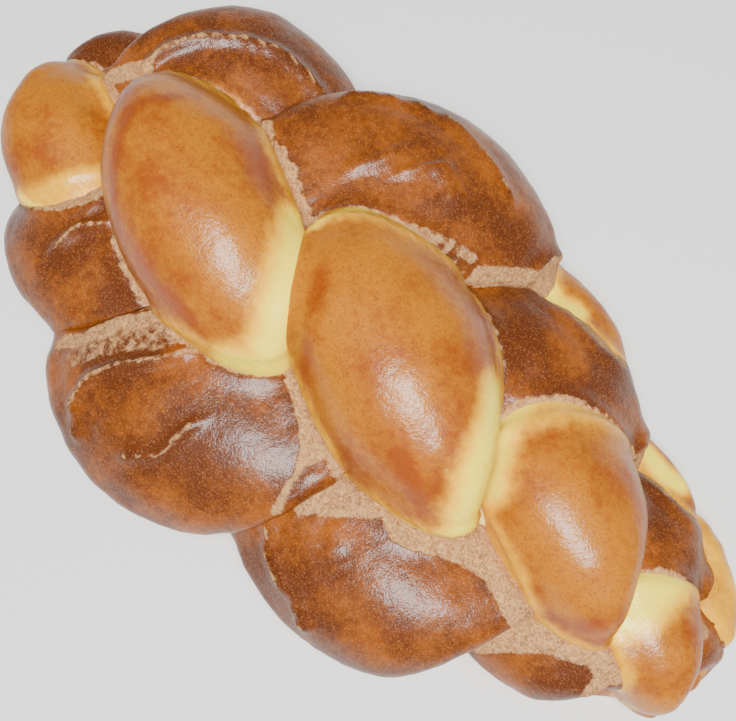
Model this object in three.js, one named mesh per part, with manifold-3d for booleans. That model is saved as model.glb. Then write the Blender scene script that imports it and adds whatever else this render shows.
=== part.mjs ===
// Braided loaf of two doughs, baked on a flat tray.
//
// Four ropes of dough make a round braid: two of plain egg dough and two of cocoa dough. At every crossing
// one rope swells over the other. Plain lobes lie along the crown and under the loaf, and cocoa lobes along
// both sides. The ropes thin out to both ends, where they are pinched together, and the underside is flat
// from the tray. In the oven they have risen into each other and baked together as one solid bread.
//
// Millimetres, +Z up. +X runs along the loaf from the thick end to the slim one, and +Y to its left. The
// origin is at the middle of the loaf's outline, on the tray.
//
// A station counts the crossings along the loaf. Plain lobes top the crown at whole stations, and cocoa
// lobes stand out at the sides halfway between them.

import * as THREE from "three";
import { mergeVertices } from "three/addons/utils/BufferGeometryUtils.js";
import Module from "manifold-3d";

// Stations where the ropes begin and end, and how many stations an end takes to round off.
const FIRST_STATION = -1.2;
const LAST_STATION = 5;
const END_ROUNDING = 0.35;

// Half width of a rope at stations -1, 0, 1 ... 5, in millimetres. The sizes below are counted in this
// width.
const HALF_WIDTHS = [6, 18.5, 30.5, 30.5, 23.5, 14.5, 5];

// Distance from one crossing to the next.
const PITCH = 2.5;

// At stations -1, 1, 3 and 5: how far the braid is rolled to the left, in degrees, and how far its axis
// strays to the left, in millimetres.
const ROLL = [-44, -12, 12, 2];
const SWAY = [-9, -7, -4, -2];

// The braid's section where a rope is over the other, at the crown and at a side: its distance from the
// axis, and its half thickness there and where it is under the other.
const CROWN = { distance: 1.1, over: 0.65, under: 0.3 };
const SIDE = { distance: 1.95, over: 0.77, under: 0.3 };
// Half width of a rope along the loaf, where it is over and under.
const OVER_WIDTH = 1.35;
const UNDER_WIDTH = 0.75;
// How close a rope may come to the axis.
const AXIS_CLEARANCE = 0.1;
// Share of the two thicknesses by which an upper rope stands off the one below it. The rest is pressed
// flat.
const STAND_OFF = 0.85;
// The lower half of the braid is flattened by the weight above it, and spreads.
const LOWER_SQUASH = 0.65;
const LOWER_SPREAD = 0.35;
// How far a lobe on the left side stands ahead of one on the right.
const SIDE_LAG = 0.05;
// Depth to which the lowest lobes sit flat on the tray.
const TRAY_FLAT = 0.26;
// The inside, where the ropes have risen into each other: the stations that it runs between, its half
// width, its half height, and how far its middle is above the axis.
const INSIDE = { first: -1.3, last: 5.05, aside: 1.75, above: 1.1, raised: 0.05 };
// The knob of dough at the thick end, where the ropes are pinched together: the station of its middle and
// its radius in millimetres.
const PINCH = { station: -1.1, radius: 7 };
// The end of a plain rope, tucked flat along the left side at the slim end: the station and the distance to
// the left where its middle is, its height, its half sizes and how far it is turned, in millimetres and
// degrees.
const TUCKED_END = { station: 3.9, left: 25, height: 10, long: 34, wide: 25, thick: 11, turn: -20 };

// Facets of a rope: sides round it and steps along it.
const SIDES = 18;
const STEPS = 84;
// Size below which a facet is merged into its neighbours.
const FINEST = 0.05;

const CRUST = new THREE.MeshStandardMaterial({ color: 0xd48f2e, roughness: 0.35, metalness: 0 });

// A rope turns about the axis, half a turn in each station, to one hand or the other. It crosses the crown
// at crownStation, over the other dough or under it. Its lobes stand one station apart from firstLobe on,
// and are hand-rolled, so each has its own size and lies a little ahead or to the left of its regular
// place.
const ROPES = [
  {
    // plain, over the crown at the even stations
    turn: -1,
    crownStation: 0,
    overCrown: 1,
    firstLobe: -1,
    lobeSizes: [1, 1.15, 1, 1.07, 1, 1.08, 1],
    lobesOut: [1, 1.1, 1, 1.05, 1.05, 0.95, 1],
    lobesAhead: [0, 0, 0, 0.05, -0.2, 0.2, 0],
    lobesLeft: [0, -0.2, 0, -0.05, 1.25, -0.15, 0],
  },
  {
    // plain, over the crown at the odd stations
    turn: -1,
    crownStation: 1,
    overCrown: 1,
    firstLobe: -1,
    lobeSizes: [1, 1, 1.09, 1, 1, 1.2, 1],
    lobesOut: [1, 1, 0.95, 1, 1, 1.4, 1],
    lobesAhead: [0, 0, 0, -0.1, 0.15, -0.3, 0],
    lobesLeft: [0, 0, 0.05, 1.15, 0, 1.2, 0],
  },
  {
    // cocoa, out at the left side after the even stations
    turn: 1,
    crownStation: 0,
    overCrown: -1,
    firstLobe: -1.5,
    lobeSizes: [1, 1, 0.95, 1, 0.95, 0.95, 1, 1],
    lobesOut: [1, 1, 1, 1.05, 0.9, 0.8, 1.05, 1],
    lobesAhead: [0, 0, -0.12, -0.1, 0, 0, 0, 0],
    lobesLeft: [0, 0, 0.2, -0.05, -0.15, 0.2, -0.15, 0],
  },
  {
    // cocoa, out at the left side after the odd stations
    turn: 1,
    crownStation: 1,
    overCrown: -1,
    firstLobe: -1.5,
    lobeSizes: [1, 1, 0.95, 1, 1.05, 1, 0.6, 1],
    lobesOut: [1, 1.05, 1, 1.05, 0.95, 0.9, 0.4, 1],
    lobesAhead: [0, 0, 0.15, 0, 0.1, 0.1, 0, 0],
    lobesLeft: [0, -0.1, 0.1, 0.05, -0.17, -0.25, 0, 0],
  },
];

// A quantity given at evenly spaced stations, read at any station from a smooth curve through its values.
function onCurve(values, firstStation, spacing, station) {
  const last = values.length - 1;
  const place = (station - firstStation) / spacing;
  const i = THREE.MathUtils.clamp(Math.floor(place), 0, last - 1);
  const t = place - i;
  const here = values[i];
  const next = values[i + 1];
  const before = i > 0 ? values[i - 1] : 2 * here - next;
  const after = i + 2 <= last ? values[i + 2] : 2 * next - here;
  const slope = next - before;
  const bend = 2 * before - 5 * here + 4 * next - after;
  const twist = 3 * (here - next) + after - before;
  return here + 0.5 * t * (slope + t * (bend + t * twist));
}

// A quantity of each lobe of a rope, read at any station: it holds at a lobe's top and eases to the next
// one's.
function atLobe(rope, values, station) {
  const place = THREE.MathUtils.clamp(station - rope.firstLobe, 0, values.length - 1);
  const i = Math.min(Math.floor(place), values.length - 2);
  const ease = 0.5 - 0.5 * Math.cos(Math.PI * (place - i));
  return THREE.MathUtils.lerp(values[i], values[i + 1], ease);
}

function halfWidth(station) {
  return onCurve(HALF_WIDTHS, -1, 1, station);
}

// Distance along the loaf of a station. A crossing takes PITCH half widths, so slim stretches are short
// ones.
function lengthTo(station) {
  const slices = 40;
  const step = (station - FIRST_STATION) / slices;
  let length = 0;
  for (let i = 0; i < slices; i += 1) {
    length += PITCH * halfWidth(FIRST_STATION + (i + 0.5) * step) * step;
  }
  return length;
}

// Where a rope is in its turn at a station: its direction from the axis, and from 1 where it is over the
// other dough to 0 where it is under.
function turnAt(rope, station) {
  const phase = rope.turn * Math.PI * (station - rope.crownStation);
  const angle = phase + THREE.MathUtils.degToRad(onCurve(ROLL, -1, 2, station));
  return {
    left: Math.sin(angle),
    up: Math.cos(angle),
    over: 0.5 + 0.5 * rope.overCrown * Math.cos(2 * phase),
  };
}

// Distance of a rope's middle from the axis.
function distance(section, over) {
  const pressed = section.distance - STAND_OFF * (section.over + section.under);
  return THREE.MathUtils.lerp(pressed, section.distance, over);
}

// The braid's axis at a station. It is as high as lets the lobes below it sit flat on the tray.
function axisAt(station) {
  const width = halfWidth(station);
  const height = width * (CROWN.distance * LOWER_SQUASH + CROWN.over - TRAY_FLAT);
  return new THREE.Vector3(lengthTo(station), onCurve(SWAY, -1, 2, station), height);
}

// Middle of a rope at a station.
function middleAt(rope, station) {
  const width = halfWidth(station);
  const { left, up, over } = turnAt(rope, station);
  const out = distance(SIDE, over) * atLobe(rope, rope.lobesOut, station);
  const aside = out * left * (1 - LOWER_SPREAD * up) + atLobe(rope, rope.lobesLeft, station);
  const above = distance(CROWN, over) * up * (up < 0 ? LOWER_SQUASH : 1);
  const ahead = SIDE_LAG * left + atLobe(rope, rope.lobesAhead, station);
  return axisAt(station).add(new THREE.Vector3(ahead, aside, above).multiplyScalar(width));
}

// A rope's section at a station lies along the loaf and out from the axis: its middle, the direction out,
// half its width, and how far it reaches outwards and inwards. Inwards it stops short of the axis.
function sectionAt(rope, station) {
  const { left, up, over } = turnAt(rope, station);
  const crown = THREE.MathUtils.lerp(CROWN.under, CROWN.over, over);
  const side = THREE.MathUtils.lerp(SIDE.under, SIDE.over, over);
  const width = halfWidth(station);
  const size = width * atLobe(rope, rope.lobeSizes, station);
  const outwards = size * (crown * up * up + side * left * left);
  const middle = middleAt(rope, station);
  const fromAxis = middle.clone().sub(axisAt(station)).setX(0);
  return {
    middle,
    outward: fromAxis.clone().normalize(),
    halfWide: size * THREE.MathUtils.lerp(UNDER_WIDTH, OVER_WIDTH, over),
    outwards,
    inwards: Math.min(outwards, fromAxis.length() - AXIS_CLEARANCE * width),
  };
}

// A straight rolled rope of unit radius, one unit long for each station, with rounded ends.
function rolledRope(first, last) {
  const profile = [];
  for (let i = 0; i <= STEPS; i += 1) {
    const station = THREE.MathUtils.lerp(first, last, i / STEPS);
    const fromEnd = Math.min(station - first, last - station);
    const short = 1 - Math.min(fromEnd / END_ROUNDING, 1);
    profile.push(new THREE.Vector2(i % STEPS === 0 ? 0 : Math.sqrt(1 - short * short), station));
  }
  return new THREE.LatheGeometry(profile, SIDES);
}

// The rolled rope laid into the braid.
function braidedRope(rope) {
  const geometry = rolledRope(FIRST_STATION, LAST_STATION);
  const positions = geometry.attributes.position;
  const sections = new Map();
  for (let i = 0; i < positions.count; i += 1) {
    const station = positions.getY(i);
    if (!sections.has(station)) {
      sections.set(station, sectionAt(rope, station));
    }
    const section = sections.get(station);
    const across = rope.turn * positions.getX(i);
    const out = positions.getZ(i);
    const reach = out > 0 ? section.outwards : section.inwards;
    const point = section.middle.clone().addScaledVector(section.outward, out * reach);
    point.x += across * section.halfWide;
    positions.setXYZ(i, point.x, point.y, point.z);
  }
  return geometry;
}

// The inside of the bread, round the axis from end to end.
function inside() {
  const geometry = rolledRope(INSIDE.first, INSIDE.last);
  const positions = geometry.attributes.position;
  for (let i = 0; i < positions.count; i += 1) {
    const station = positions.getY(i);
    const width = halfWidth(station);
    const point = axisAt(station);
    point.y -= width * INSIDE.aside * positions.getX(i);
    point.z += width * (INSIDE.above * positions.getZ(i) + INSIDE.raised);
    positions.setXYZ(i, point.x, point.y, point.z);
  }
  return geometry;
}

// The ropes' pinched ends.
function pinch() {
  const middle = axisAt(PINCH.station);
  return new THREE.SphereGeometry(PINCH.radius, SIDES, SIDES).translate(middle.x, middle.y, middle.z);
}

function tuckedEnd() {
  const end = TUCKED_END;
  const middle = axisAt(end.station);
  return new THREE.SphereGeometry(1, 2 * SIDES, SIDES)
    .scale(end.long, end.wide, end.thick)
    .rotateZ(THREE.MathUtils.degToRad(end.turn))
    .translate(middle.x, middle.y + end.left, end.height);
}

const wasm = await Module();
wasm.setup();

function solid(geometry) {
  geometry.deleteAttribute("normal");
  geometry.deleteAttribute("uv");
  const merged = mergeVertices(geometry, 1e-4);
  const corners = Array.from(merged.index.array);
  const triangles = [];
  for (let i = 0; i < corners.length; i += 3) {
    const [a, b, c] = corners.slice(i, i + 3);
    if (a !== b && b !== c && c !== a) {
      triangles.push(a, b, c);
    }
  }
  return new wasm.Manifold(new wasm.Mesh({
    numProp: 3,
    vertProperties: new Float32Array(merged.attributes.position.array),
    triVerts: new Uint32Array(triangles),
  }));
}

function meshOf(body, name, material) {
  const { vertProperties, triVerts } = body.getMesh();
  const geometry = new THREE.BufferGeometry();
  geometry.setAttribute("position", new THREE.BufferAttribute(new Float32Array(vertProperties), 3));
  geometry.setIndex(new THREE.BufferAttribute(new Uint32Array(triVerts), 1));
  geometry.computeVertexNormals();
  const mesh = new THREE.Mesh(geometry, material);
  mesh.name = name;
  return mesh;
}

// The tray's surface, as the top of a slab wider than the loaf.
function tray() {
  const size = 1000;
  const slab = new THREE.BoxGeometry(size, size, size);
  slab.translate(0, 0, -size / 2);
  return solid(slab);
}

// The ropes, their ends and the inside as one bread, flat where it lies on the tray.
function loaf() {
  let bread = solid(inside()).add(solid(pinch())).add(solid(tuckedEnd()));
  for (const rope of ROPES) {
    bread = bread.add(solid(braidedRope(rope)));
  }
  const group = new THREE.Group();
  group.add(meshOf(bread.subtract(tray()).simplify(FINEST), "bread", CRUST));
  const middle = new THREE.Box3().setFromObject(group).getCenter(new THREE.Vector3());
  group.position.set(-middle.x, -middle.y, 0);
  return group;
}

export default loaf();
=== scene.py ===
"""The looks of a braided loaf of two doughs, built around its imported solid.

Lengths named with _mm are in millimetres, and every other size of the braid is counted in half widths of a
rope, as in the part's source. A station counts the crossings along the loaf: plain lobes top the crown at
whole stations, and cocoa lobes stand out at the sides halfway between them. An angle on a rope is 0 where it
faces out of the loaf, and grows towards the side that lies ahead of it.
"""

import itertools
import logging
import math
from dataclasses import dataclass
from enum import Enum, IntEnum
from typing import Optional

import bmesh
import bpy
import numpy as np
from mathutils import Matrix, Vector


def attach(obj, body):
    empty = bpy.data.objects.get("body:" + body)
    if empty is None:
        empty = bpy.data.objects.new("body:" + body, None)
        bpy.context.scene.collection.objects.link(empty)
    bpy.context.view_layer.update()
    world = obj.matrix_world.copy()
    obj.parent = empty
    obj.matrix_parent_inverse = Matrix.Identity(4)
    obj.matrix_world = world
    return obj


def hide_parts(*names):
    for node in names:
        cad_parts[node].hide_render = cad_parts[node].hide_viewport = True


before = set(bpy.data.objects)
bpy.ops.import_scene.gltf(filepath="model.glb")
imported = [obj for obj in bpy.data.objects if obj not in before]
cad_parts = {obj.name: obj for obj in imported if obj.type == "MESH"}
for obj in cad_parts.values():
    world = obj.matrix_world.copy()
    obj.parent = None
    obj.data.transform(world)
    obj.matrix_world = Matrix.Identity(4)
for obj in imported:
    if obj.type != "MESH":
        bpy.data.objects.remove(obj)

MM = 0.001
FAR_MM = 1e9
LOG = logging.getLogger("braided_loaf")


class Dough(Enum):
    """The two doughs, by the record's material slots."""

    PLAIN = "plain_dough"
    COCOA = "cocoa_dough"


class Feature(Enum):
    """What a mark on the crust is, by the mesh attribute that carries it where it has one."""

    TORN = "torn"
    PALE = "pale"
    # The brown attribute carries the brown patches and also the painted shade on the ropes' sides.
    BROWN = "brown"
    GROOVE = "groove"
    WRINKLES = "wrinkles"


# The features that a finish reads. A groove is relief with a torn bottom, and wrinkles are relief alone.
COLOURED = (Feature.TORN, Feature.PALE, Feature.BROWN)


class Noise(IntEnum):
    """The noises that make the crust uneven, by their seeds."""

    SWELL = 1
    DIMPLE = 2
    GRAIN = 3
    TORN_GRAIN = 4
    FRAY = 11
    FINE_FRAY = 12
    CRUMB_SWELL = 21
    CRUMB_GRAIN = 22
    CRUMB_PALE = 23
    CRUMB_TORN = 24


@dataclass(frozen=True)
class Mark:
    """A mark on a rope's crust: a line through places on it, with a reach to both sides.

    Attributes:
        feature: What it is.
        places: The line's points, each a station and an angle in degrees.
        reach_mm: How far it shows to each side.
        depth_mm: How deep a groove is, or how high wrinkles are.
        strength: How clearly it shows, up to 1.
    """

    feature: Feature
    places: tuple[tuple[float, float], ...]
    reach_mm: float
    depth_mm: float = 0.0
    strength: float = 1.0


@dataclass(frozen=True)
class RopeForm:
    """How a rope runs through the braid, and how uneven its hand-rolled lobes are.

    Attributes:
        name: The piece's name.
        dough: What it is made of.
        turn: 1 where it goes from the crown to the left side, and -1 to the right side.
        crown_station: A station where it is at the crown.
        over_crown: 1 where it is over the other dough there, and -1 where it is under.
        first_lobe: The station of the first lobe in the lists, which hold one value for each station.
        lobe_sizes: How large each lobe is, as a share of the usual one.
        lobes_out: How far each stands out at a side, as a share of the usual distance.
        lobes_ahead: How far each is moved ahead.
        lobes_left: How far each is moved to the left.
        marks: What shows on its crust.
    """

    name: str
    dough: Dough
    turn: int
    crown_station: float
    over_crown: int
    first_lobe: float
    lobe_sizes: tuple[float, ...]
    lobes_out: tuple[float, ...]
    lobes_ahead: tuple[float, ...]
    lobes_left: tuple[float, ...]
    marks: tuple[Mark, ...] = ()


@dataclass(frozen=True)
class Crossing:
    """How far from the axis a rope is over the other dough, and its half thickness over and under."""

    distance: float
    over: float
    under: float


def on_curve(values: tuple[float, ...], first: float, spacing: float, station: np.ndarray) -> np.ndarray:
    """Reads a quantity given at evenly spaced stations from a smooth curve through its values.

    Args:
        values: The quantity at each of the stations.
        first: The first of the stations.
        spacing: The distance between two of them.
        station: The stations to read it at.

    Returns:
        The quantity at each station.
    """
    table = np.array(values)
    last = len(table) - 1
    ends = np.concatenate(([2 * table[0] - table[1]], table, [2 * table[-1] - table[-2]]))
    place = (np.asarray(station, float) - first) / spacing
    i = np.clip(np.floor(place).astype(int), 0, last - 1)
    t = place - i
    before, here, after, later = ends[i], ends[i + 1], ends[i + 2], ends[i + 3]
    slope = after - before
    bend = 2 * before - 5 * here + 4 * after - later
    twist = 3 * (here - after) + later - before
    return here + 0.5 * t * (slope + t * (bend + t * twist))


# Large odd numbers that scramble a cell's place and a seed into a number that looks random.
CELL_FACTORS = (73856093, 19349663, 83492791)
SEED_FACTOR = 2654435
SCRAMBLE_FACTOR = 1274126177


def smooth_noise(points: np.ndarray, seed: int) -> np.ndarray:
    """Gives smooth noise from -1 to 1 that changes over about one unit.

    Args:
        points: An array of places, three numbers each.
        seed: Which of many noises.

    Returns:
        The noise at each place.
    """
    cell = np.floor(points).astype(np.int64)
    t = points - cell
    ease = t * t * t * (t * (6 * t - 15) + 10)
    total = np.zeros(len(points))
    for corner in itertools.product((0, 1), repeat=3):
        near = np.array(corner)
        x, y, z = (cell + near).T
        mixed = (x * CELL_FACTORS[0]) ^ (y * CELL_FACTORS[1]) ^ (z * CELL_FACTORS[2]) ^ (seed * SEED_FACTOR)
        mixed = (mixed ^ (mixed >> 13)) * SCRAMBLE_FACTOR & 0xFFFFFFFF
        mixed = (mixed ^ (mixed >> 16)) & 0xFFFF
        weight = np.prod(np.where(near == 1, ease, 1 - ease), axis=1)
        total += weight * (mixed / (0xFFFF / 2) - 1)
    return total


def smooth_step(low: float, high: float, value: np.ndarray) -> np.ndarray:
    """Rises smoothly from 0 where the value is low to 1 where it is high."""
    t = np.clip((value - low) / (high - low), 0, 1)
    return t * t * (3 - 2 * t)


# How finely the length of the loaf is added up, and how far past its ends, in stations.
LENGTH_STEPS = 2000
LENGTH_MARGIN = 0.5

# How finely a rope is cut in the search for the section nearest to a point, and the offsets that are tried.
SEARCH_STEPS = 621
COARSE_OFFSETS = range(-80, 81, 5)
FINE_OFFSETS = (2.5, 1.2, 0.6, 0.3)


@dataclass(frozen=True)
class Braid:
    """The round braid: where each of its ropes runs and how thick it is there.

    Attributes:
        first_station: Where the ropes begin.
        last_station: Where they end.
        curves_from: The station of the first value of the three curves that follow.
        half_widths_mm: Half width of a rope, one station apart.
        roll_deg: How far the braid is rolled about its axis, bend_spacing apart.
        sway_mm: How far its axis bends to the left, bend_spacing apart.
        bend_spacing: Stations from one roll or sway to the next.
        pitch: Length of the loaf from one station to the next.
        crown: How the ropes cross on the crown and under the loaf.
        side: How they cross at the sides.
        over_width: Half width where a rope is over.
        under_width: Half width where it is under.
        axis_clearance: How near to the axis a rope may reach.
        stand_off: How far apart crossing ropes lie, as a share of their half thicknesses.
        lower_squash: What the tray leaves of the height below the axis.
        lower_spread: How much wider the lower half is for that.
        side_lag: How far a rope is ahead at the left side, and behind at the right.
        tray_flat: How much of the lowest lobes the tray takes away.
        fullness: How long a lobe stays thick towards its ends, 1 for a plain wave.
        start_mm: Where the axis begins, along the part's frame and to the left.
    """

    first_station: float = -1.2
    last_station: float = 5.0
    curves_from: float = -1.0
    half_widths_mm: tuple[float, ...] = (6, 18.5, 30.5, 30.5, 23.5, 14.5, 5)
    roll_deg: tuple[float, ...] = (-44, -12, 12, 2)
    sway_mm: tuple[float, ...] = (-9, -7, -4, -2)
    bend_spacing: float = 2.0
    pitch: float = 2.5
    crown: Crossing = Crossing(distance=1.1, over=0.65, under=0.3)
    side: Crossing = Crossing(distance=1.95, over=0.77, under=0.3)
    over_width: float = 1.35
    under_width: float = 0.75
    axis_clearance: float = 0.1
    stand_off: float = 0.85
    lower_squash: float = 0.65
    lower_spread: float = 0.35
    side_lag: float = 0.05
    tray_flat: float = 0.26
    fullness: float = 1.6
    start_mm: tuple[float, float] = (-156.66, 7.41)

    def half_width(self, station: np.ndarray) -> np.ndarray:
        """Half width of a rope at each station, in millimetres."""
        return on_curve(self.half_widths_mm, self.curves_from, 1, station)

    def bend(self, values: tuple[float, ...], station: np.ndarray) -> np.ndarray:
        """The roll or the sway at each station."""
        return on_curve(values, self.curves_from, self.bend_spacing, station)

    def length_to(self, station: np.ndarray) -> np.ndarray:
        """Distance along the loaf of each station from the first one, in millimetres."""
        first, last = self.first_station - LENGTH_MARGIN, self.last_station + LENGTH_MARGIN
        steps = np.linspace(first, last, LENGTH_STEPS)
        pace = self.pitch * self.half_width(steps)
        length = np.concatenate(([0], np.cumsum((pace[1:] + pace[:-1]) / 2 * np.diff(steps))))
        return np.interp(station, steps, length) - np.interp(self.first_station, steps, length)

    def turn(self, rope: RopeForm, station: np.ndarray) -> tuple[np.ndarray, np.ndarray, np.ndarray]:
        """Finds where a rope is in its turn about the axis.

        Args:
            rope: The rope.
            station: The stations.

        Returns:
            How far it is to the left, how far up, and how much over the other dough, from 0 to 1.
        """
        phase = rope.turn * np.pi * (station - rope.crown_station)
        angle = phase + np.radians(self.bend(self.roll_deg, station))
        return np.sin(angle), np.cos(angle), 0.5 + 0.5 * rope.over_crown * np.cos(2 * phase)

    def distance(self, crossing: Crossing, over: np.ndarray) -> np.ndarray:
        """Distance of a rope's middle from the axis at a crossing."""
        pressed = crossing.distance - self.stand_off * (crossing.over + crossing.under)
        return pressed + (crossing.distance - pressed) * over

    def at_lobe(self, rope: RopeForm, values: tuple[float, ...], station: np.ndarray) -> np.ndarray:
        """Reads a quantity of each lobe of a rope, easing from one lobe's top to the next one's."""
        table = np.array(values)
        place = np.clip(station - rope.first_lobe, 0, len(table) - 1)
        i = np.minimum(np.floor(place).astype(int), len(table) - 2)
        ease = 0.5 - 0.5 * np.cos(np.pi * (place - i))
        return table[i] + (table[i + 1] - table[i]) * ease

    def axis(self, station: np.ndarray) -> np.ndarray:
        """The axis at each station, in the part's frame, in millimetres."""
        drop = self.crown.distance * self.lower_squash + self.crown.over
        height = self.half_width(station) * (drop - self.tray_flat)
        along = self.length_to(station) + self.start_mm[0]
        return np.stack([along, self.bend(self.sway_mm, station) + self.start_mm[1], height], axis=-1)

    def sections(self, rope: RopeForm, station: np.ndarray) -> dict[str, np.ndarray]:
        """Finds a rope's section at each station, in the plane along the loaf and out from the axis.

        Args:
            rope: The rope.
            station: The stations.

        Returns:
            The middle, the direction out, half the width, and the reach outwards and inwards, in millimetres.
        """
        width = self.half_width(station)
        left, up, over = self.turn(rope, station)
        out = self.distance(self.side, over) * self.at_lobe(rope, rope.lobes_out, station)
        aside = out * left * (1 - self.lower_spread * up) + self.at_lobe(rope, rope.lobes_left, station)
        above = self.distance(self.crown, over) * up * np.where(up < 0, self.lower_squash, 1)
        ahead = self.side_lag * left + self.at_lobe(rope, rope.lobes_ahead, station)
        middle = self.axis(station) + np.stack([ahead, aside, above], axis=-1) * width[:, None]
        over = 1 - (1 - over) ** self.fullness
        crown = self.crown.under + (self.crown.over - self.crown.under) * over
        side = self.side.under + (self.side.over - self.side.under) * over
        size = width * self.at_lobe(rope, rope.lobe_sizes, station)
        outwards = size * (crown * up**2 + side * left**2)
        from_axis = (middle - self.axis(station)) * (0, 1, 1)
        away = np.linalg.norm(from_axis, axis=1)
        return {
            "middle": middle,
            "outward": from_axis / away[:, None],
            "half_wide": size * (self.under_width + (self.over_width - self.under_width) * over),
            "outwards": outwards,
            "inwards": np.minimum(outwards, away - self.axis_clearance * width),
        }

    def lay(self, rope: RopeForm, station: np.ndarray, across: np.ndarray, out: np.ndarray) -> np.ndarray:
        """Lays places of a straight rope of unit radius into the braid.

        Args:
            rope: The rope.
            station: The station of each place.
            across: How far each is ahead in its section, in radii.
            out: How far each is outwards, in radii.

        Returns:
            The places in the part's frame, in millimetres.
        """
        section = self.sections(rope, station)
        reach = np.where(out > 0, section["outwards"], section["inwards"])
        points = section["middle"] + section["outward"] * (out * reach)[:, None]
        points[:, 0] += across * section["half_wide"]
        return points

    def gap_to(self, rope: RopeForm, points: np.ndarray) -> np.ndarray:
        """Measures how far points are from a rope's surface, less than 0 inside it.

        Args:
            rope: The rope.
            points: The points in the part's frame, in millimetres.

        Returns:
            The rough distance of each point, in millimetres.
        """
        steps = np.linspace(self.first_station, self.last_station, SEARCH_STEPS)
        section = self.sections(rope, steps)
        columns = ("middle", "outward", "half_wide", "outwards", "inwards")
        table = np.column_stack([section[column] for column in columns])
        nearest = np.interp(points[:, 0], self.axis(steps)[:, 0], np.arange(len(steps)))
        best = np.full(len(points), FAR_MM)
        best_reach = np.ones(len(points))
        best_step = nearest.copy()

        def compare(place: np.ndarray) -> None:
            """Keeps the sections at these steps where they lie closer to the points."""
            nonlocal best, best_reach, best_step
            # Just short of the last section, so that another one always follows.
            place = np.clip(place, 0, len(steps) - 1.001)
            i = place.astype(int)
            t = (place - i)[:, None]
            at = table[i] * (1 - t) + table[i + 1] * t
            along, aside, above = (points - at[:, 0:3]).T
            out_aside, out_above = at[:, 4], at[:, 5]
            half_wide, outwards, inwards = at[:, 6], at[:, 7], at[:, 8]
            radial = aside * out_aside + above * out_above
            sideways = aside * out_above - above * out_aside
            reach = np.where(radial > 0, outwards, inwards)
            share = np.sqrt((along / half_wide) ** 2 + (radial**2 + sideways**2) / reach**2)
            closer = share < best
            best = np.where(closer, share, best)
            best_reach = np.where(closer, np.sqrt(reach * half_wide), best_reach)
            best_step = np.where(closer, place, best_step)

        for offset in COARSE_OFFSETS:
            compare(nearest + offset)
        for offset in FINE_OFFSETS:
            middle = best_step.copy()
            compare(middle - offset)
            compare(middle + offset)
        return (best - 1) * best_reach


BRAID = Braid()

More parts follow.
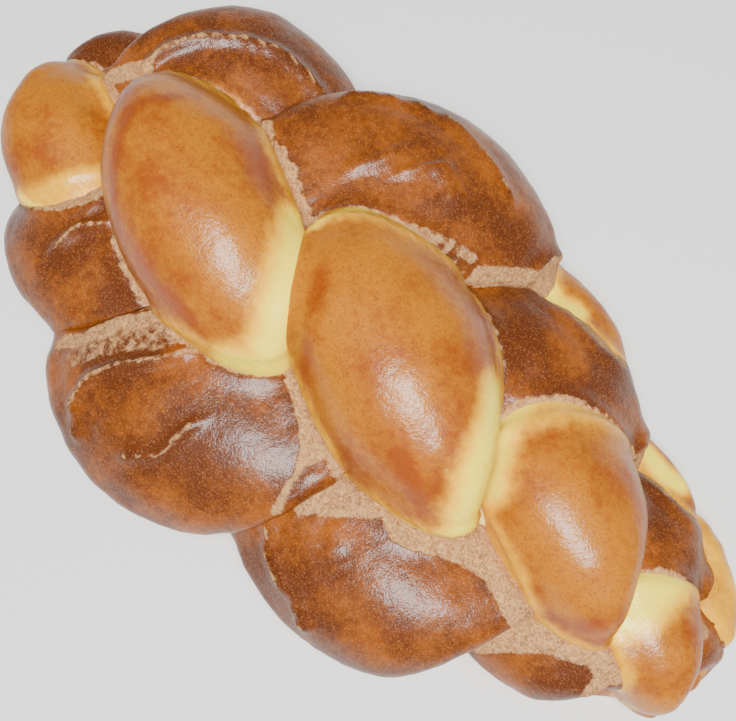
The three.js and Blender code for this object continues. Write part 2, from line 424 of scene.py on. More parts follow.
ROPES = (
    RopeForm(
        name="plain_rope_1",
        dough=Dough.PLAIN,
        turn=-1,
        crown_station=0,
        over_crown=1,
        first_lobe=-1,
        lobe_sizes=(1, 1.15, 1, 1.07, 1, 1.08, 1),
        lobes_out=(1, 1.1, 1, 1.05, 1.05, 0.95, 1),
        lobes_ahead=(0, 0, 0, 0.05, -0.2, 0.2, 0),
        lobes_left=(0, -0.2, 0, -0.05, 1.25, -0.15, 0),
        marks=(
            Mark(Feature.PALE, ((0.18, -8), (0.15, 20), (0.12, 42)), 2.5),
            Mark(Feature.PALE, ((1.9, -75), (1.83, -57), (1.78, -40), (1.74, -20), (1.72, 2)), 4.0),
            Mark(Feature.PALE, ((1.88, 62), (1.95, 64), (2.03, 68), (2.1, 76)), 12.0),
            Mark(Feature.PALE, ((2.12, 82), (2.22, 62), (2.28, 38), (2.3, 10)), 8.0),
            Mark(Feature.BROWN, ((2.3, -60), (2.18, -45), (2.08, -40), (1.98, -50)), 9.0, strength=0.7),
            Mark(Feature.BROWN, ((2.12, 20), (2.16, 40), (2.08, 45)), 9.0, strength=0.7),
            Mark(Feature.PALE, ((3.34, -22), (3.36, 0), (3.33, 22)), 6.0),
            Mark(Feature.PALE, ((3.78, -10), (3.86, -14), (3.95, -24), (4.0, -38)), 14.0),
            Mark(Feature.BROWN, ((4.05, 10), (4.12, 30)), 8.0, strength=0.6),
        ),
    ),
    RopeForm(
        name="plain_rope_2",
        dough=Dough.PLAIN,
        turn=-1,
        crown_station=1,
        over_crown=1,
        first_lobe=-1,
        lobe_sizes=(1, 1, 1.09, 1, 1, 1.2, 1),
        lobes_out=(1, 1, 0.95, 1, 1, 1.4, 1),
        lobes_ahead=(0, 0, 0, -0.1, 0.15, -0.3, 0),
        lobes_left=(0, 0, 0.05, 1.15, 0, 1.2, 0),
        marks=(
            Mark(Feature.PALE, ((0.86, 58), (0.94, 64), (1.02, 66), (1.1, 68), (1.15, 74)), 12.0),
            Mark(Feature.PALE, ((1.15, 80), (1.18, 60), (1.2, 42)), 11.0),
            Mark(
                Feature.BROWN,
                ((0.84, -25), (0.9, -36), (0.96, -48), (1.05, -42), (1.14, -30)),
                6.0,
                strength=0.8,
            ),
            Mark(Feature.BROWN, ((1.16, -10), (1.16, 12), (1.18, 30)), 7.0, strength=0.8),
            Mark(Feature.PALE, ((2.34, -42), (2.4, -30), (2.38, -8)), 7.0),
            Mark(Feature.PALE, ((2.86, -62), (2.94, -74), (3.02, -70), (3.08, -66)), 10.0),
            Mark(Feature.PALE, ((2.87, -55), (2.82, -30), (2.76, 0)), 6.0, strength=0.6),
            Mark(Feature.BROWN, ((3.2, 0), (3.24, 20), (3.15, 50)), 8.0, strength=0.8),
            Mark(Feature.PALE, ((4.34, 22), (4.4, 0)), 8.0),
        ),
    ),
    RopeForm(
        name="cocoa_rope_1",
        dough=Dough.COCOA,
        turn=1,
        crown_station=0,
        over_crown=-1,
        first_lobe=-1.5,
        lobe_sizes=(1, 1, 0.95, 1, 0.95, 0.95, 1, 1),
        lobes_out=(1, 1, 1, 1.05, 0.9, 0.8, 1.05, 1),
        lobes_ahead=(0, 0, -0.12, -0.1, 0, 0, 0, 0),
        lobes_left=(0, 0, 0.2, -0.05, -0.15, 0.2, -0.15, 0),
        marks=(
            Mark(Feature.TORN, ((0.18, -50), (0.24, -24)), 3.5, strength=0.8),
            Mark(
                Feature.GROOVE,
                ((0.24, -24), (0.3, -27), (0.36, -20), (0.41, -5), (0.45, 12), (0.475, 32), (0.49, 52)),
                2.2,
                2.6,
            ),
            Mark(Feature.PALE, ((0.24, 18), (0.29, 28), (0.32, 44), (0.34, 62)), 6.0),
            Mark(Feature.TORN, ((0.35, 72), (0.43, 78)), 3.5),
            Mark(Feature.TORN, ((1.48, -84), (1.57, -82), (1.65, -82), (1.72, -74), (1.76, -50)), 2.5),
            Mark(Feature.TORN, ((1.56, -70), (1.65, -66), (1.71, -58)), 4.0, strength=0.5),
            Mark(Feature.TORN, ((1.87, -15), (1.84, 5), (1.81, 26), (1.77, 44)), 3.5),
            Mark(Feature.TORN, ((1.75, 46), (1.7, 56), (1.65, 68)), 1.2),
            Mark(
                Feature.GROOVE,
                ((1.54, -24), (1.56, -40), (1.6, -50), (1.64, -50), (1.68, -46), (1.73, -42)),
                1.8,
                2.2,
            ),
            Mark(Feature.GROOVE, ((1.6, -6), (1.645, 3), (1.675, -2), (1.7, -4)), 1.6, 1.8),
            Mark(Feature.WRINKLES, ((1.57, -42), (1.6, -20)), 8.0, 0.35),
            Mark(Feature.TORN, ((2.26, -28), (2.21, 0), (2.18, 22)), 1.5),
            Mark(Feature.TORN, ((2.39, 78), (2.46, 92)), 3.0),
            Mark(Feature.TORN, ((3.5, -30), (3.58, -28), (3.67, -16), (3.74, 12), (3.73, 36)), 6.5),
            Mark(Feature.TORN, ((3.72, 32), (3.65, 50), (3.58, 64)), 3.0),
            Mark(Feature.TORN, ((4.28, 4), (4.31, 22)), 3.0, strength=0.8),
        ),
    ),
    RopeForm(
        name="cocoa_rope_2",
        dough=Dough.COCOA,
        turn=1,
        crown_station=1,
        over_crown=-1,
        first_lobe=-1.5,
        lobe_sizes=(1, 1, 0.95, 1, 1.05, 1, 0.6, 1),
        lobes_out=(1, 1.05, 1, 1.05, 0.95, 0.9, 0.4, 1),
        lobes_ahead=(0, 0, 0.15, 0, 0.1, 0.1, 0, 0),
        lobes_left=(0, -0.1, 0.1, 0.05, -0.17, -0.25, 0, 0),
        marks=(
            Mark(Feature.GROOVE, ((0.71, -26), (0.76, -34), (0.81, -28)), 1.6, 2.0),
            Mark(Feature.TORN, ((1.25, -62), (1.2, -42), (1.17, -16), (1.13, 6), (1.11, 26)), 2.5),
            Mark(Feature.TORN, ((1.12, 26), (1.18, 28), (1.24, 32), (1.29, 44), (1.33, 58), (1.36, 72)), 1.5),
            Mark(Feature.TORN, ((1.385, 90), (1.43, 94), (1.49, 95), (1.57, 88)), 3.5),
            Mark(
                Feature.GROOVE,
                ((1.37, -50), (1.41, -36), (1.435, -12), (1.43, 8), (1.44, 22), (1.43, 38)),
                1.8,
                2.0,
            ),
            Mark(
                Feature.GROOVE,
                ((1.31, 10), (1.335, 12), (1.36, 14), (1.36, 26), (1.35, 36)),
                1.8,
                2.0,
                0.7,
            ),
            Mark(Feature.GROOVE, ((1.27, -2), (1.3, 1), (1.33, -2)), 2.4, 1.6, 0.3),
            Mark(Feature.WRINKLES, ((1.31, -8), (1.35, 18)), 8.0, 0.45),
            Mark(Feature.WRINKLES, ((2.56, -42), (2.62, -22)), 9.0, 0.5),
            Mark(Feature.TORN, ((2.45, -62), (2.53, -68), (2.6, -74), (2.67, -68)), 3.5),
            Mark(Feature.TORN, ((2.6, -62), (2.66, -52), (2.72, -44), (2.78, -34)), 3.5, strength=0.6),
            Mark(
                Feature.TORN,
                ((2.76, -32), (2.81, -22), (2.85, -5), (2.86, 16), (2.84, 36), (2.8, 62)),
                9.0,
            ),
            Mark(Feature.GROOVE, ((2.545, -58), (2.525, -42), (2.52, -26), (2.53, -12), (2.5, 4)), 2.0, 2.4),
            Mark(Feature.GROOVE, ((2.585, -54), (2.57, -38)), 1.6, 1.5, 0.5),
            Mark(Feature.GROOVE, ((2.65, -42), (2.63, -28)), 1.6, 1.3, 0.5),
            Mark(Feature.GROOVE, ((2.61, -48), (2.595, -34)), 1.6, 1.3, 0.5),
        ),
    ),
)


# How much of a rope's end is rounded, in stations.
END_ROUNDING = 0.35


def rolled_rope(first: float, last: float, rings: int, sides: int) -> bmesh.types.BMesh:
    """Spins a straight rope of unit radius along Z, one unit long for each station, with rounded ends.

    Args:
        first: The station where it begins.
        last: The station where it ends.
        rings: The steps along it.
        sides: The steps round it.

    Returns:
        The rope.
    """
    bm = bmesh.new()
    profile = []
    for i in range(rings + 1):
        station = first + (last - first) * i / rings
        short = 1 - min(min(station - first, last - station) / END_ROUNDING, 1)
        profile.append(bm.verts.new((math.sqrt(max(1 - short * short, 0)), 0, station)))
    edges = [bm.edges.new(pair) for pair in zip(profile, profile[1:])]
    bmesh.ops.spin(
        bm,
        geom=profile + edges,
        axis=(0, 0, 1),
        cent=(0, 0, 0),
        angle=2 * math.pi,
        steps=sides,
        use_merge=True,
    )
    bmesh.ops.remove_doubles(bm, verts=bm.verts, dist=1e-6)
    return bm


def add_piece(mesh: bpy.types.Mesh, masks: dict[Feature, np.ndarray]) -> bpy.types.Object:
    """Makes a mesh a smooth piece of the scene, with an attribute for each feature that its finish reads.

    Args:
        mesh: The mesh, which has the piece's name.
        masks: How strongly each feature shows at each of its points.

    Returns:
        The piece.
    """
    for feature, values in masks.items():
        attribute = mesh.attributes.new(feature.value, "FLOAT", "POINT")
        attribute.data.foreach_set("value", values.astype(np.float32))
    mesh.shade_smooth()
    mesh.update()
    piece = bpy.data.objects.new(mesh.name, mesh)
    bpy.context.scene.collection.objects.link(piece)
    return piece


@dataclass(frozen=True)
class Unevenness:
    """A soft unevenness of the crust, its colours or the edges of its marks."""

    amount: float
    size_mm: float
    noise: Noise

    def at(self, points: np.ndarray) -> np.ndarray:
        """The unevenness at each point, from minus the amount to the amount."""
        return self.amount * smooth_noise(points / self.size_mm, self.noise)


@dataclass(frozen=True)
class Crease:
    """How deep the dough sinks where it meets a rope, and how far from it, in millimetres."""

    depth_mm: float
    reach_mm: float = 3.5
    inside_mm: float = 4.0

    def at(self, gap: np.ndarray) -> np.ndarray:
        """The depth at each distance from the rope's surface, held steady from a little way inside it."""
        return self.depth_mm * np.exp(-((np.maximum(gap, -self.inside_mm) / self.reach_mm) ** 2))


@dataclass(frozen=True)
class Relief:
    """How the baked crust departs from a smooth rope, and how its marks spread and fray.

    A fray or a wander is how far an edge strays. A seam is where the rope meets one of the other dough, which
    tears cocoa dough and leaves plain dough pale. The finish cuts the ramp of torn dough into a ragged line.
    Pale and brown patches have the soft edges. The relief fades out near the tray.
    """

    # Painted shade: how strongly the crust darkens towards brown where the surface turns away from up, and
    # the power it grows by.
    side_shade: float
    side_shade_power: float = 1.5
    crease: Crease = Crease(depth_mm=1.8)
    bumps: tuple[Unevenness, ...] = (
        Unevenness(0.9, 24.0, Noise.SWELL),
        Unevenness(0.28, 7.0, Noise.DIMPLE),
        Unevenness(0.1, 2.6, Noise.GRAIN),
    )
    fray: tuple[Unevenness, ...] = (Unevenness(0.6, 9.0, Noise.FRAY), Unevenness(0.4, 3.0, Noise.FINE_FRAY))
    torn_sink_mm: float = 0.7
    torn_grain_mm: float = 0.6
    torn_grain_sizes_mm: tuple[float, float, float] = (5.0, 1.5, 1.5)
    torn_ramp_mm: float = 6.0
    torn_fray_mm: float = 0.8
    groove_torn: float = 0.58
    seam_fray_mm: float = 1.2
    seam_torn: float = 0.62
    seam_pale: float = 0.4
    seam_pale_mm: float = 6.0
    seam_pale_fray_mm: float = 2.0
    soft_reach: float = 1.25
    soft_fray: float = 0.2
    wrinkle_mm: float = 5.0
    wrinkle_wander_mm: float = 1.5
    wrinkle_fray_mm: float = 3.0
    wrinkle_core: float = 0.4
    tray_fade_mm: float = 6.0


@dataclass(frozen=True)
class Rope:
    """A baked rope of the braid, as one piece of the loaf, with the other ropes that press on it."""

    form: RopeForm
    others: tuple[RopeForm, ...]
    relief: Relief
    rings: int = 400
    sides: int = 200

    def smooth_rope(self) -> tuple[bpy.types.Mesh, np.ndarray, np.ndarray]:
        """Builds the rope as it lies in the braid, without its crust's relief.

        Returns:
            Its mesh, its points in millimetres and its normals.
        """
        bm = rolled_rope(BRAID.first_station, BRAID.last_station, self.rings, self.sides)
        mesh = bpy.data.meshes.new(self.form.name)
        bmesh.ops.recalc_face_normals(bm, faces=bm.faces)
        bm.to_mesh(mesh)
        bm.free()
        flat = np.empty(len(mesh.vertices) * 3)
        mesh.vertices.foreach_get("co", flat)
        straight = flat.reshape(-1, 3)
        points = BRAID.lay(self.form, straight[:, 2], self.form.turn * straight[:, 0], straight[:, 1])
        mesh.vertices.foreach_set("co", (points * MM).ravel())
        mesh.update()
        normals = np.empty(len(flat))
        mesh.vertex_normals.foreach_get("vector", normals)
        return mesh, points, normals.reshape(-1, 3)

    def away_from(self, mark: Mark, points: np.ndarray) -> np.ndarray:
        """Measures how far the rope's points are from the line of a mark, in millimetres."""
        station, angle = np.array(mark.places, float).T
        line = BRAID.lay(self.form, station, np.sin(np.radians(angle)), np.cos(np.radians(angle)))
        away = np.full(len(points), FAR_MM)
        for start, end in zip(line, line[1:]):
            run = end - start
            t = np.clip((points - start) @ run / (run @ run), 0, 1)
            away = np.minimum(away, np.linalg.norm(points - start - t[:, None] * run, axis=1))
        return away

    def mark_masks(
        self, points: np.ndarray, fray: np.ndarray
    ) -> tuple[dict[Feature, np.ndarray], np.ndarray]:
        """Finds how strongly each feature shows, and how far the marks push the crust out.

        Args:
            points: The rope's points, in millimetres.
            fray: The unevenness of the marks' edges, from -1 to 1.

        Returns:
            The masks of the features that the finish reads, and the push of each point in millimetres.
        """
        relief = self.relief
        masks = {feature: np.zeros(len(points)) for feature in COLOURED}
        push = np.zeros(len(points))
        for mark in self.form.marks:
            away = self.away_from(mark, points)
            if mark.feature is Feature.WRINKLES:
                edge = away + relief.wrinkle_fray_mm * fray
                fade = smooth_step(mark.reach_mm, relief.wrinkle_core * mark.reach_mm, edge)
                wave = 2 * np.pi * (away + relief.wrinkle_wander_mm * fray) / relief.wrinkle_mm
                push += mark.depth_mm * fade * np.cos(wave)
                continue
            shown = mark.feature
            if mark.feature is Feature.GROOVE:
                groove = np.exp(-((away / mark.reach_mm) ** 2))
                push -= mark.depth_mm * groove
                shown = Feature.TORN
                mask = relief.groove_torn * groove * mark.strength
            elif mark.feature is Feature.TORN:
                inside = mark.reach_mm - away + relief.torn_fray_mm * fray
                mask = np.clip(0.5 + inside / relief.torn_ramp_mm, 0, mark.strength)
            else:
                edge = away * (1 + relief.soft_fray * fray)
                mask = smooth_step(relief.soft_reach * mark.reach_mm, 0, edge) * mark.strength
            masks[shown] = np.maximum(masks[shown], mask)
        return masks, push

    def build(self) -> bpy.types.Object:
        """Builds the rope with its crust's relief and the attributes that its finish reads.

        Returns:
            The rope.
        """
        mesh, points, normals = self.smooth_rope()
        relief = self.relief
        gaps = {dough: np.full(len(points), FAR_MM) for dough in Dough}
        for other in self.others:
            gaps[other.dough] = np.minimum(gaps[other.dough], BRAID.gap_to(other, points))
        fray = sum(part.at(points) for part in relief.fray)
        masks, push = self.mark_masks(points, fray)
        if self.form.dough is Dough.COCOA:
            edge = gaps[Dough.PLAIN] + relief.seam_fray_mm * fray
            seam = np.clip(0.5 - edge / relief.torn_ramp_mm, 0, relief.seam_torn)
            masks[Feature.TORN] = np.maximum(masks[Feature.TORN], seam)
        else:
            edge = gaps[Dough.COCOA] + relief.seam_pale_fray_mm * fray
            seam = smooth_step(relief.seam_pale_mm, 0, edge)
            masks[Feature.PALE] = np.maximum(masks[Feature.PALE], relief.seam_pale * seam)
        push -= relief.crease.at(np.minimum(gaps[Dough.PLAIN], gaps[Dough.COCOA]))
        for bumps in relief.bumps:
            push += bumps.at(points)
        threads = smooth_noise(points / relief.torn_grain_sizes_mm, Noise.TORN_GRAIN)
        push -= masks[Feature.TORN] * (relief.torn_sink_mm + relief.torn_grain_mm * threads)
        height = np.clip(points[:, 2] / relief.tray_fade_mm, 0, 1)
        points = points + normals * (push * height)[:, None]
        points[:, 2] = np.maximum(points[:, 2], 0)
        mesh.vertices.foreach_set("co", (points * MM).ravel())
        # Painted shade: the brown tone grows where the normal turns away from up, so the sides darken as if
        # the overhead light fell off there. The brown patches are kept beside it.
        low = 1 - np.clip(normals[:, 2], 0, 1)
        brown_and_side_shade = relief.side_shade * low**relief.side_shade_power
        masks[Feature.BROWN] = np.maximum(masks[Feature.BROWN], brown_and_side_shade * (1 - masks[Feature.PALE]))
        return add_piece(mesh, masks)


def hex_colour(code: str) -> tuple[float, float, float, float]:
    """Turns an sRGB hex colour to linear light.

    Args:
        code: Six hex digits.

    Returns:
        Red, green, blue and 1.
    """
    channels = [int(code[i : i + 2], 16) / 255 for i in (0, 2, 4)]
    linear = [c / 12.92 if c <= 0.04045 else ((c + 0.055) / 1.055) ** 2.4 for c in channels]
    return (linear[0], linear[1], linear[2], 1.0)


def add_node(
    tree: bpy.types.NodeTree, kind: str, settings: Optional[dict] = None, links: Optional[dict] = None
) -> bpy.types.Node:
    """Adds a node to a tree.

    Args:
        tree: The tree.
        kind: The node's type.
        settings: Values by property name, or by input name or number.
        links: Sockets to link to inputs, by input name or number.

    Returns:
        The node.
    """
    node = tree.nodes.new(kind)
    for key, value in (settings or {}).items():
        if isinstance(key, str) and hasattr(node, key):
            setattr(node, key, value)
        else:
            node.inputs[key].default_value = value
    for key, socket in (links or {}).items():
        tree.links.new(socket, node.inputs[key])
    return node


@dataclass(frozen=True)
class Crust:
    """Egg-washed bread crust: a browned skin under a thin baked glaze, matt and paler where the dough tore.

    The skin goes from brown, the most baked, over mid to light, and on to gold and pale where the dough took
    less colour. A tone counts from 0, the most baked: it adds up a base, the large blotches, the mottling and
    painted shade on the sides, which pulls the skin towards brown where the surface turns away from up. A
    pair of numbers says where a change begins and ends.
    """

    name: str
    brown: str
    mid: str
    light: str
    torn: str
    torn_light: str
    gold: str
    pale: str
    speck: str
    speck_share: float
    roughness: float = 0.55
    torn_roughness: float = 0.85
    glaze: float = 0.4
    glaze_roughness: float = 0.2
    ior: float = 1.3
    blotch_mm: float = 24.0
    mottle_mm: float = 2.6
    pore_mm: float = 0.8
    fibre_mm: float = 1.6
    tones: tuple[float, float, float] = (0.22, 0.45, 0.66)
    base_tone: float = 0.12
    blotch_tone: float = 0.58
    mottle_tone: float = 0.26
    side_shade_tone: float = -0.4
    freckled: tuple[float, float] = (0.53, 0.66)
    gilded: tuple[float, float] = (0.15, 0.7)
    faded: tuple[float, float] = (0.45, 1.05)
    ragged: tuple[float, float] = (0.66, 0.8)
    threaded: tuple[float, float] = (0.36, 0.64)
    fade_mottle: float = 0.25
    torn_mottle: float = 0.45
    bump_mm: float = 0.4
    bump_strength: float = 0.6
    pore_bump: float = 0.45
    thread_bump: float = 2.6
    soft_mm: float = 2.0
    soft_share: float = 0.06

    def build(self) -> bpy.types.Material:
        """Builds the crust's material."""
        material = bpy.data.materials.new(self.name)
        material.use_nodes = True
        tree = material.node_tree
        tree.nodes.clear()
        place = add_node(tree, "ShaderNodeTexCoord").outputs["Object"]
        torn, pale, brown_and_side_shade = (
            add_node(tree, "ShaderNodeAttribute", {"attribute_name": feature.value}).outputs["Fac"]
            for feature in COLOURED
        )
        blotch, mottle, pores, fibre = (
            add_node(
                tree,
                "ShaderNodeTexNoise",
                {"Scale": 1 / (size_mm * MM), "Detail": detail, "Roughness": rough, "Distortion": distortion},
                {"Vector": place},
            ).outputs["Fac"]
            for size_mm, detail, rough, distortion in (
                (self.blotch_mm, 3.0, 0.5, 0.0),
                (self.mottle_mm, 4.0, 0.6, 0.0),
                (self.pore_mm, 3.0, 0.5, 0.0),
                (self.fibre_mm, 4.0, 0.7, 1.5),
            )
        )
        # How baked the crust is, with painted shade on the sides: each part of the tone is added to the ones
        # before.
        tone = add_node(
            tree,
            "ShaderNodeMath",
            {"operation": "MULTIPLY_ADD", 1: self.blotch_tone, 2: self.base_tone},
            {0: blotch},
        ).outputs[0]
        # The brown attribute holds the brown patches and the painted shade on the sides, and both pull the
        # tone towards brown.
        for share, source in ((self.mottle_tone, mottle), (self.side_shade_tone, brown_and_side_shade)):
            tone = add_node(
                tree, "ShaderNodeMath", {"operation": "MULTIPLY_ADD", 1: share}, {0: source, 2: tone}
            ).outputs[0]
        ramp = add_node(tree, "ShaderNodeValToRGB", links={"Fac": tone})
        ramp.color_ramp.interpolation = "EASE"
        brown_tone, mid_tone, light_tone = self.tones
        ramp.color_ramp.elements[0].position = brown_tone
        ramp.color_ramp.elements[0].color = hex_colour(self.brown)
        ramp.color_ramp.elements[1].position = light_tone
        ramp.color_ramp.elements[1].color = hex_colour(self.light)
        ramp.color_ramp.elements.new(mid_tone).color = hex_colour(self.mid)
        # Over that lie the freckles. The dough that was stretched or tucked turns gold first, and then pale.
        fade = add_node(
            tree, "ShaderNodeMath", {"operation": "MULTIPLY_ADD", 1: self.fade_mottle}, {0: mottle, 2: pale}
        ).outputs[0]
        skin = ramp.outputs["Color"]
        for source, (low, high), share, ease, colour in (
            (pores, self.freckled, self.speck_share, "LINEAR", self.speck),
            (fade, self.gilded, 1.0, "SMOOTHSTEP", self.gold),
            (fade, self.faded, 1.0, "SMOOTHSTEP", self.pale),
        ):
            mask = add_node(
                tree,
                "ShaderNodeMapRange",
                {"interpolation_type": ease, "From Min": low, "From Max": high, "To Max": share},
                {"Value": source},
            ).outputs["Result"]
            skin = add_node(
                tree, "ShaderNodeMixRGB", {"Color2": hex_colour(colour)}, {"Fac": mask, "Color1": skin}
            ).outputs["Color"]
        # The torn dough is dry, fibrous crumb with a ragged edge.
        torn_edge = add_node(
            tree, "ShaderNodeMath", {"operation": "MULTIPLY_ADD", 1: self.torn_mottle}, {0: mottle, 2: torn}
        ).outputs[0]
        rip = add_node(
            tree,
            "ShaderNodeMapRange",
            {"interpolation_type": "SMOOTHSTEP", "From Min": self.ragged[0], "From Max": self.ragged[1]},
            {"Value": torn_edge},
        ).outputs["Result"]
        threads = add_node(
            tree,
            "ShaderNodeMapRange",
            {"From Min": self.threaded[0], "From Max": self.threaded[1]},
            {"Value": fibre},
        ).outputs["Result"]
        crumb = add_node(
            tree,
            "ShaderNodeMixRGB",
            {"Color1": hex_colour(self.torn), "Color2": hex_colour(self.torn_light)},
            {"Fac": threads},
        ).outputs["Color"]
        colour = add_node(
            tree, "ShaderNodeMixRGB", links={"Fac": rip, "Color1": skin, "Color2": crumb}
        ).outputs["Color"]
        rough, glazed = (
            add_node(tree, "ShaderNodeMapRange", {"To Min": skin_has, "To Max": crumb_has}, {"Value": rip})
            for skin_has, crumb_has in ((self.roughness, self.torn_roughness), (self.glaze, 0.0))
        )
        grain = add_node(
            tree, "ShaderNodeMath", {"operation": "MULTIPLY_ADD", 1: self.pore_bump}, {0: pores, 2: mottle}
        ).outputs[0]
        frayed = add_node(tree, "ShaderNodeMath", {"operation": "MULTIPLY"}, {0: rip, 1: fibre}).outputs[0]
        height = add_node(
            tree, "ShaderNodeMath", {"operation": "MULTIPLY_ADD", 1: self.thread_bump}, {0: frayed, 2: grain}
        ).outputs[0]
        bump = add_node(
            tree,
            "ShaderNodeBump",
            {"Strength": self.bump_strength, "Distance": self.bump_mm * MM},
            {"Height": height},
        ).outputs["Normal"]
        shader = add_node(
            tree,
            "ShaderNodeBsdfPrincipled",
            {
                "IOR": self.ior,
                "Coat Roughness": self.glaze_roughness,
                "Subsurface Weight": self.soft_share,
                "Subsurface Radius": (1.0, 0.5, 0.25),
                "Subsurface Scale": self.soft_mm * MM,
            },
            {
                "Base Color": colour,
                "Roughness": rough.outputs["Result"],
                "Normal": bump,
                "Coat Weight": glazed.outputs["Result"],
                "Coat Normal": bump,
            },
        )
        add_node(tree, "ShaderNodeOutputMaterial", links={"Surface": shader.outputs["BSDF"]})
        return material


# Egg dough under egg wash, baked: a golden skin with fine brown freckles, pale yellow where it was tucked.
PLAIN_CRUST = Crust(
    name="golden_egg_crust",
    brown="8E4000",
    mid="B06A00",
    light="D09000",
    torn="E8C060",
    torn_light="FBE088",
    gold="F0AC10",
    pale="FFE234",
    speck="7A3400",
    speck_share=0.5,
    glaze=0.5,
    glaze_roughness=0.18,
)

# Cocoa dough under egg wash, baked: a glossy chestnut skin with fine pale specks, dry tan crumb where torn.
COCOA_CRUST = Crust(
    name="cocoa_egg_crust",
    brown="542404",
    mid="8E4806",
    light="B87016",
    torn="8A5C38",
    torn_light="D2A26C",
    gold="C87A1C",
    pale="F2B030",
    speck="D09050",
    speck_share=0.2,
    roughness=0.5,
    glaze=0.42,
    glaze_roughness=0.16,
    pore_mm=0.6,
)


@dataclass(frozen=True)
class Studio:
    """A pale floor under soft light from above, and the camera."""

    azimuth_deg: float = 47.1
    elevation_deg: float = 77.5
    distance_mm: float = 380.0
    view_deg: float = 35.9
    target_mm: tuple[float, float, float] = (7.95, 2.25, 45.0)
    farthest_m: float = 50.0
    floor_size_m: float = 6.0
    floor_colour: str = "E4E4E2"
    floor_roughness: float = 0.8
    room_colour: str = "FFFFFF"
    room_light: float = 0.2
    softbox_at_m: tuple[float, float, float] = (0.22, -0.2, 1.15)
    softbox_size_m: float = 0.5
    softbox_power_w: float = 34.0

    def camera(self) -> None:
        """Sets up the camera at the photograph's angle."""
        azimuth = math.radians(self.azimuth_deg)
        elevation = math.radians(self.elevation_deg)
        back = Vector(
            (
                math.sin(azimuth) * math.cos(elevation),
                -math.cos(azimuth) * math.cos(elevation),
                math.sin(elevation),
            )
        )
        data = bpy.data.cameras.new("camera")
        data.angle = math.radians(self.view_deg)
        data.sensor_fit = "HORIZONTAL"
        data.dof.use_dof = False
        data.clip_end = self.farthest_m
        camera = bpy.data.objects.new("camera", data)
        right = Vector((math.cos(azimuth), math.sin(azimuth), 0))
        up = back.cross(right)
        turned = Matrix((right, up, back)).transposed().to_4x4()
        place = (Vector(self.target_mm) + back * self.distance_mm) * MM
        camera.matrix_world = Matrix.Translation(place) @ turned
        bpy.context.scene.collection.objects.link(camera)
        bpy.context.scene.camera = camera

    def softbox(self) -> None:
        """Hangs the square softbox, which faces the loaf."""
        data = bpy.data.lights.new("overhead_softbox", "AREA")
        data.size = self.softbox_size_m
        data.energy = self.softbox_power_w
        lamp = bpy.data.objects.new("overhead_softbox", data)
        at = Vector(self.softbox_at_m)
        lamp.matrix_world = Matrix.Translation(at) @ at.to_track_quat("Z", "Y").to_matrix().to_4x4()
        bpy.context.scene.collection.objects.link(lamp)

    def floor(self) -> bpy.types.Object:
        """Builds the floor."""
        bm = bmesh.new()
        bmesh.ops.create_grid(bm, x_segments=1, y_segments=1, size=self.floor_size_m / 2)
        mesh = bpy.data.meshes.new("floor")
        bm.to_mesh(mesh)
        bm.free()
        # Uncoated white paper: matt and even, so that it shows only the loaf's shadow.
        material = bpy.data.materials.new("white_paper")
        material.use_nodes = True
        shader = material.node_tree.nodes["Principled BSDF"]
        shader.inputs["Base Color"].default_value = hex_colour(self.floor_colour)
        shader.inputs["Roughness"].default_value = self.floor_roughness
        mesh.materials.append(material)
        floor = bpy.data.objects.new("floor", mesh)
        bpy.context.scene.collection.objects.link(floor)
        return floor

    def build(self) -> None:
        """Builds the floor, the light of the room and the softbox, and the camera."""
        self.floor()
        world = bpy.data.worlds.new("studio_room")
        world.use_nodes = True
        background = world.node_tree.nodes["Background"]
        background.inputs["Color"].default_value = hex_colour(self.room_colour)
        background.inputs["Strength"].default_value = self.room_light
        bpy.context.scene.world = world
        self.softbox()
        self.camera()


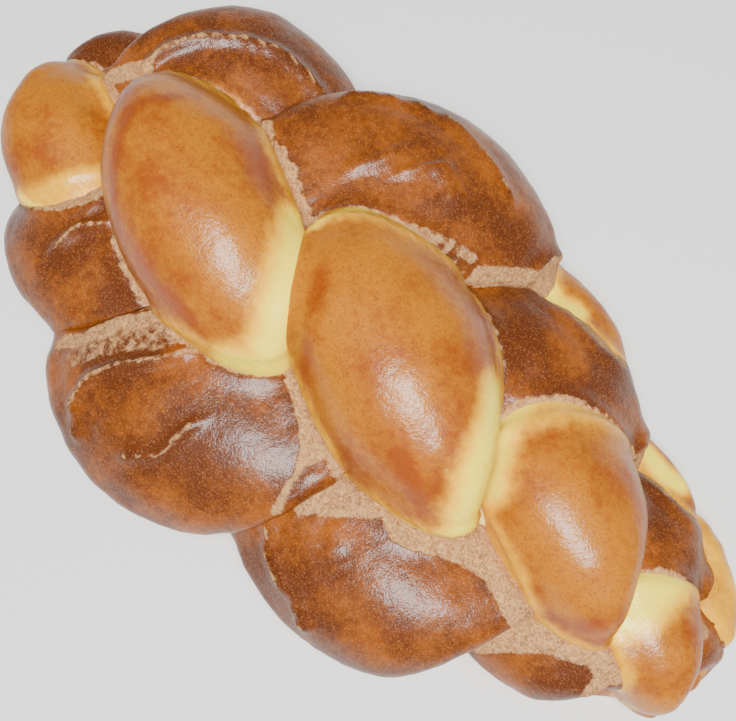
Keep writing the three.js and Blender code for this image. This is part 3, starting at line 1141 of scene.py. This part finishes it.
@dataclass(frozen=True)
class Filling:
    """The bread between the ropes, the pinched knob at the thick end and the tucked end at the slim one.

    The bread between the ropes is half its width aside and half its height above, and raised over the axis.
    """

    first_station: float = -1.3
    last_station: float = 5.05
    aside: float = 1.5
    above: float = 0.65
    raised: float = 0.05
    pinch_station: float = -1.1
    pinch_radius_mm: float = 7.0
    tuck_station: float = 3.9
    tuck_left_mm: float = 25.0
    tuck_height_mm: float = 10.0
    tuck_half_sizes_mm: tuple[float, float, float] = (34.0, 25.0, 11.0)
    tuck_turn_deg: float = -20.0
    crease: Crease = Crease(depth_mm=1.5)
    bumps: tuple[Unevenness, ...] = (
        Unevenness(0.6, 12.0, Noise.CRUMB_SWELL),
        Unevenness(0.25, 4.0, Noise.CRUMB_GRAIN),
    )
    torn: float = 0.55
    torn_patches: Unevenness = Unevenness(0.35, 8.0, Noise.CRUMB_TORN)
    paleness: float = 0.3
    pale_patches: Unevenness = Unevenness(0.3, 10.0, Noise.CRUMB_PALE)

    def core(self) -> bpy.types.Object:
        """Builds the bread round the axis, from end to end."""
        bm = rolled_rope(self.first_station, self.last_station, rings=200, sides=96)
        straight = np.array([vert.co for vert in bm.verts])
        width = BRAID.half_width(straight[:, 2])
        points = BRAID.axis(straight[:, 2])
        points[:, 1] -= width * self.aside * straight[:, 0]
        points[:, 2] += width * (self.above * straight[:, 1] + self.raised)
        return self.finished(bm, "bread_inside", points, self.torn)

    def knob(self) -> bpy.types.Object:
        """Builds the ropes' pinched ends."""
        bm = bmesh.new()
        bmesh.ops.create_icosphere(bm, subdivisions=5, radius=self.pinch_radius_mm)
        middle = BRAID.axis(np.array([self.pinch_station]))[0]
        points = np.array([vert.co for vert in bm.verts]) + middle
        return self.finished(bm, "pinched_knob", points, self.torn)

    def tucked_end(self) -> bpy.types.Object:
        """Builds the end of a plain rope that is tucked flat along the left side, with a whole crust."""
        bm = bmesh.new()
        bmesh.ops.create_icosphere(bm, subdivisions=6, radius=1)
        turned = Matrix.Rotation(math.radians(self.tuck_turn_deg), 3, "Z")
        turned = turned @ Matrix.Diagonal(self.tuck_half_sizes_mm)
        along, left, _ = BRAID.axis(np.array([self.tuck_station]))[0]
        middle = np.array([along, left + self.tuck_left_mm, self.tuck_height_mm])
        points = np.array([turned @ vert.co for vert in bm.verts]) + middle
        return self.finished(bm, "tucked_end", points, torn=0.0)

    def finished(self, bm: bmesh.types.BMesh, name: str, points: np.ndarray, torn: float) -> bpy.types.Object:
        """Turns a form of plain dough that lies behind the ropes into a piece with a crust's relief.

        Args:
            bm: The form, which is freed.
            name: The piece's name.
            points: Where its points go, in millimetres.
            torn: How torn its surface is, from 0 where it has a crust.

        Returns:
            The piece.
        """
        for vert, point in zip(bm.verts, points):
            vert.co = point
        bm.normal_update()
        normals = np.array([vert.normal for vert in bm.verts])
        gap = np.full(len(points), FAR_MM)
        for rope in ROPES:
            gap = np.minimum(gap, BRAID.gap_to(rope, points))
        push = sum(bumps.at(points) for bumps in self.bumps) - self.crease.at(gap)
        points = points + normals * push[:, None]
        points[:, 2] = np.maximum(points[:, 2], 0)
        for vert, point in zip(bm.verts, points):
            vert.co = point * MM
        bmesh.ops.recalc_face_normals(bm, faces=bm.faces)
        mesh = bpy.data.meshes.new(name)
        bm.to_mesh(mesh)
        bm.free()
        masks = {feature: np.zeros(len(points)) for feature in COLOURED}
        masks[Feature.TORN] = torn * (1 + self.torn_patches.at(points))
        masks[Feature.PALE] = self.paleness + self.pale_patches.at(points)
        return add_piece(mesh, masks)


# Painted shade: the crust darkens towards brown at the sides, where the surface turns away from up, more on
# cocoa dough than on plain dough.
RELIEFS = {Dough.PLAIN: Relief(side_shade=0.45), Dough.COCOA: Relief(side_shade=0.6)}


class Loaf:
    """The braided loaf: four ropes of two doughs, and the bread between them."""

    def __init__(self) -> None:
        """Builds the finishes that the ropes share."""
        self.finishes = {Dough.PLAIN: PLAIN_CRUST.build(), Dough.COCOA: COCOA_CRUST.build()}

    def dress(self, piece: bpy.types.Object, dough: Dough) -> None:
        """Gives a piece its finish and its place in the frame."""
        piece.data.materials.append(self.finishes[dough])
        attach(piece, "root")
        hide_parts("bread")
        LOG.info("%s: %d faces, material %s", piece.name, len(piece.data.polygons), dough.value)

    def build(self) -> None:
        """Builds and dresses the ropes and the filling, which stand for the solid bread."""
        for form in ROPES:
            others = tuple(other for other in ROPES if other is not form)
            self.dress(Rope(form, others, RELIEFS[form.dough]).build(), form.dough)
        filling = Filling()
        for piece in (filling.core(), filling.knob(), filling.tucked_end()):
            self.dress(piece, Dough.PLAIN)


def main() -> None:
    """Builds the loaf and the studio."""
    logging.basicConfig(level=logging.INFO, format="%(name)s: %(message)s")
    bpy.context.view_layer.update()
    Loaf().build()
    Studio().build()


if __name__ == "__main__":
    main()
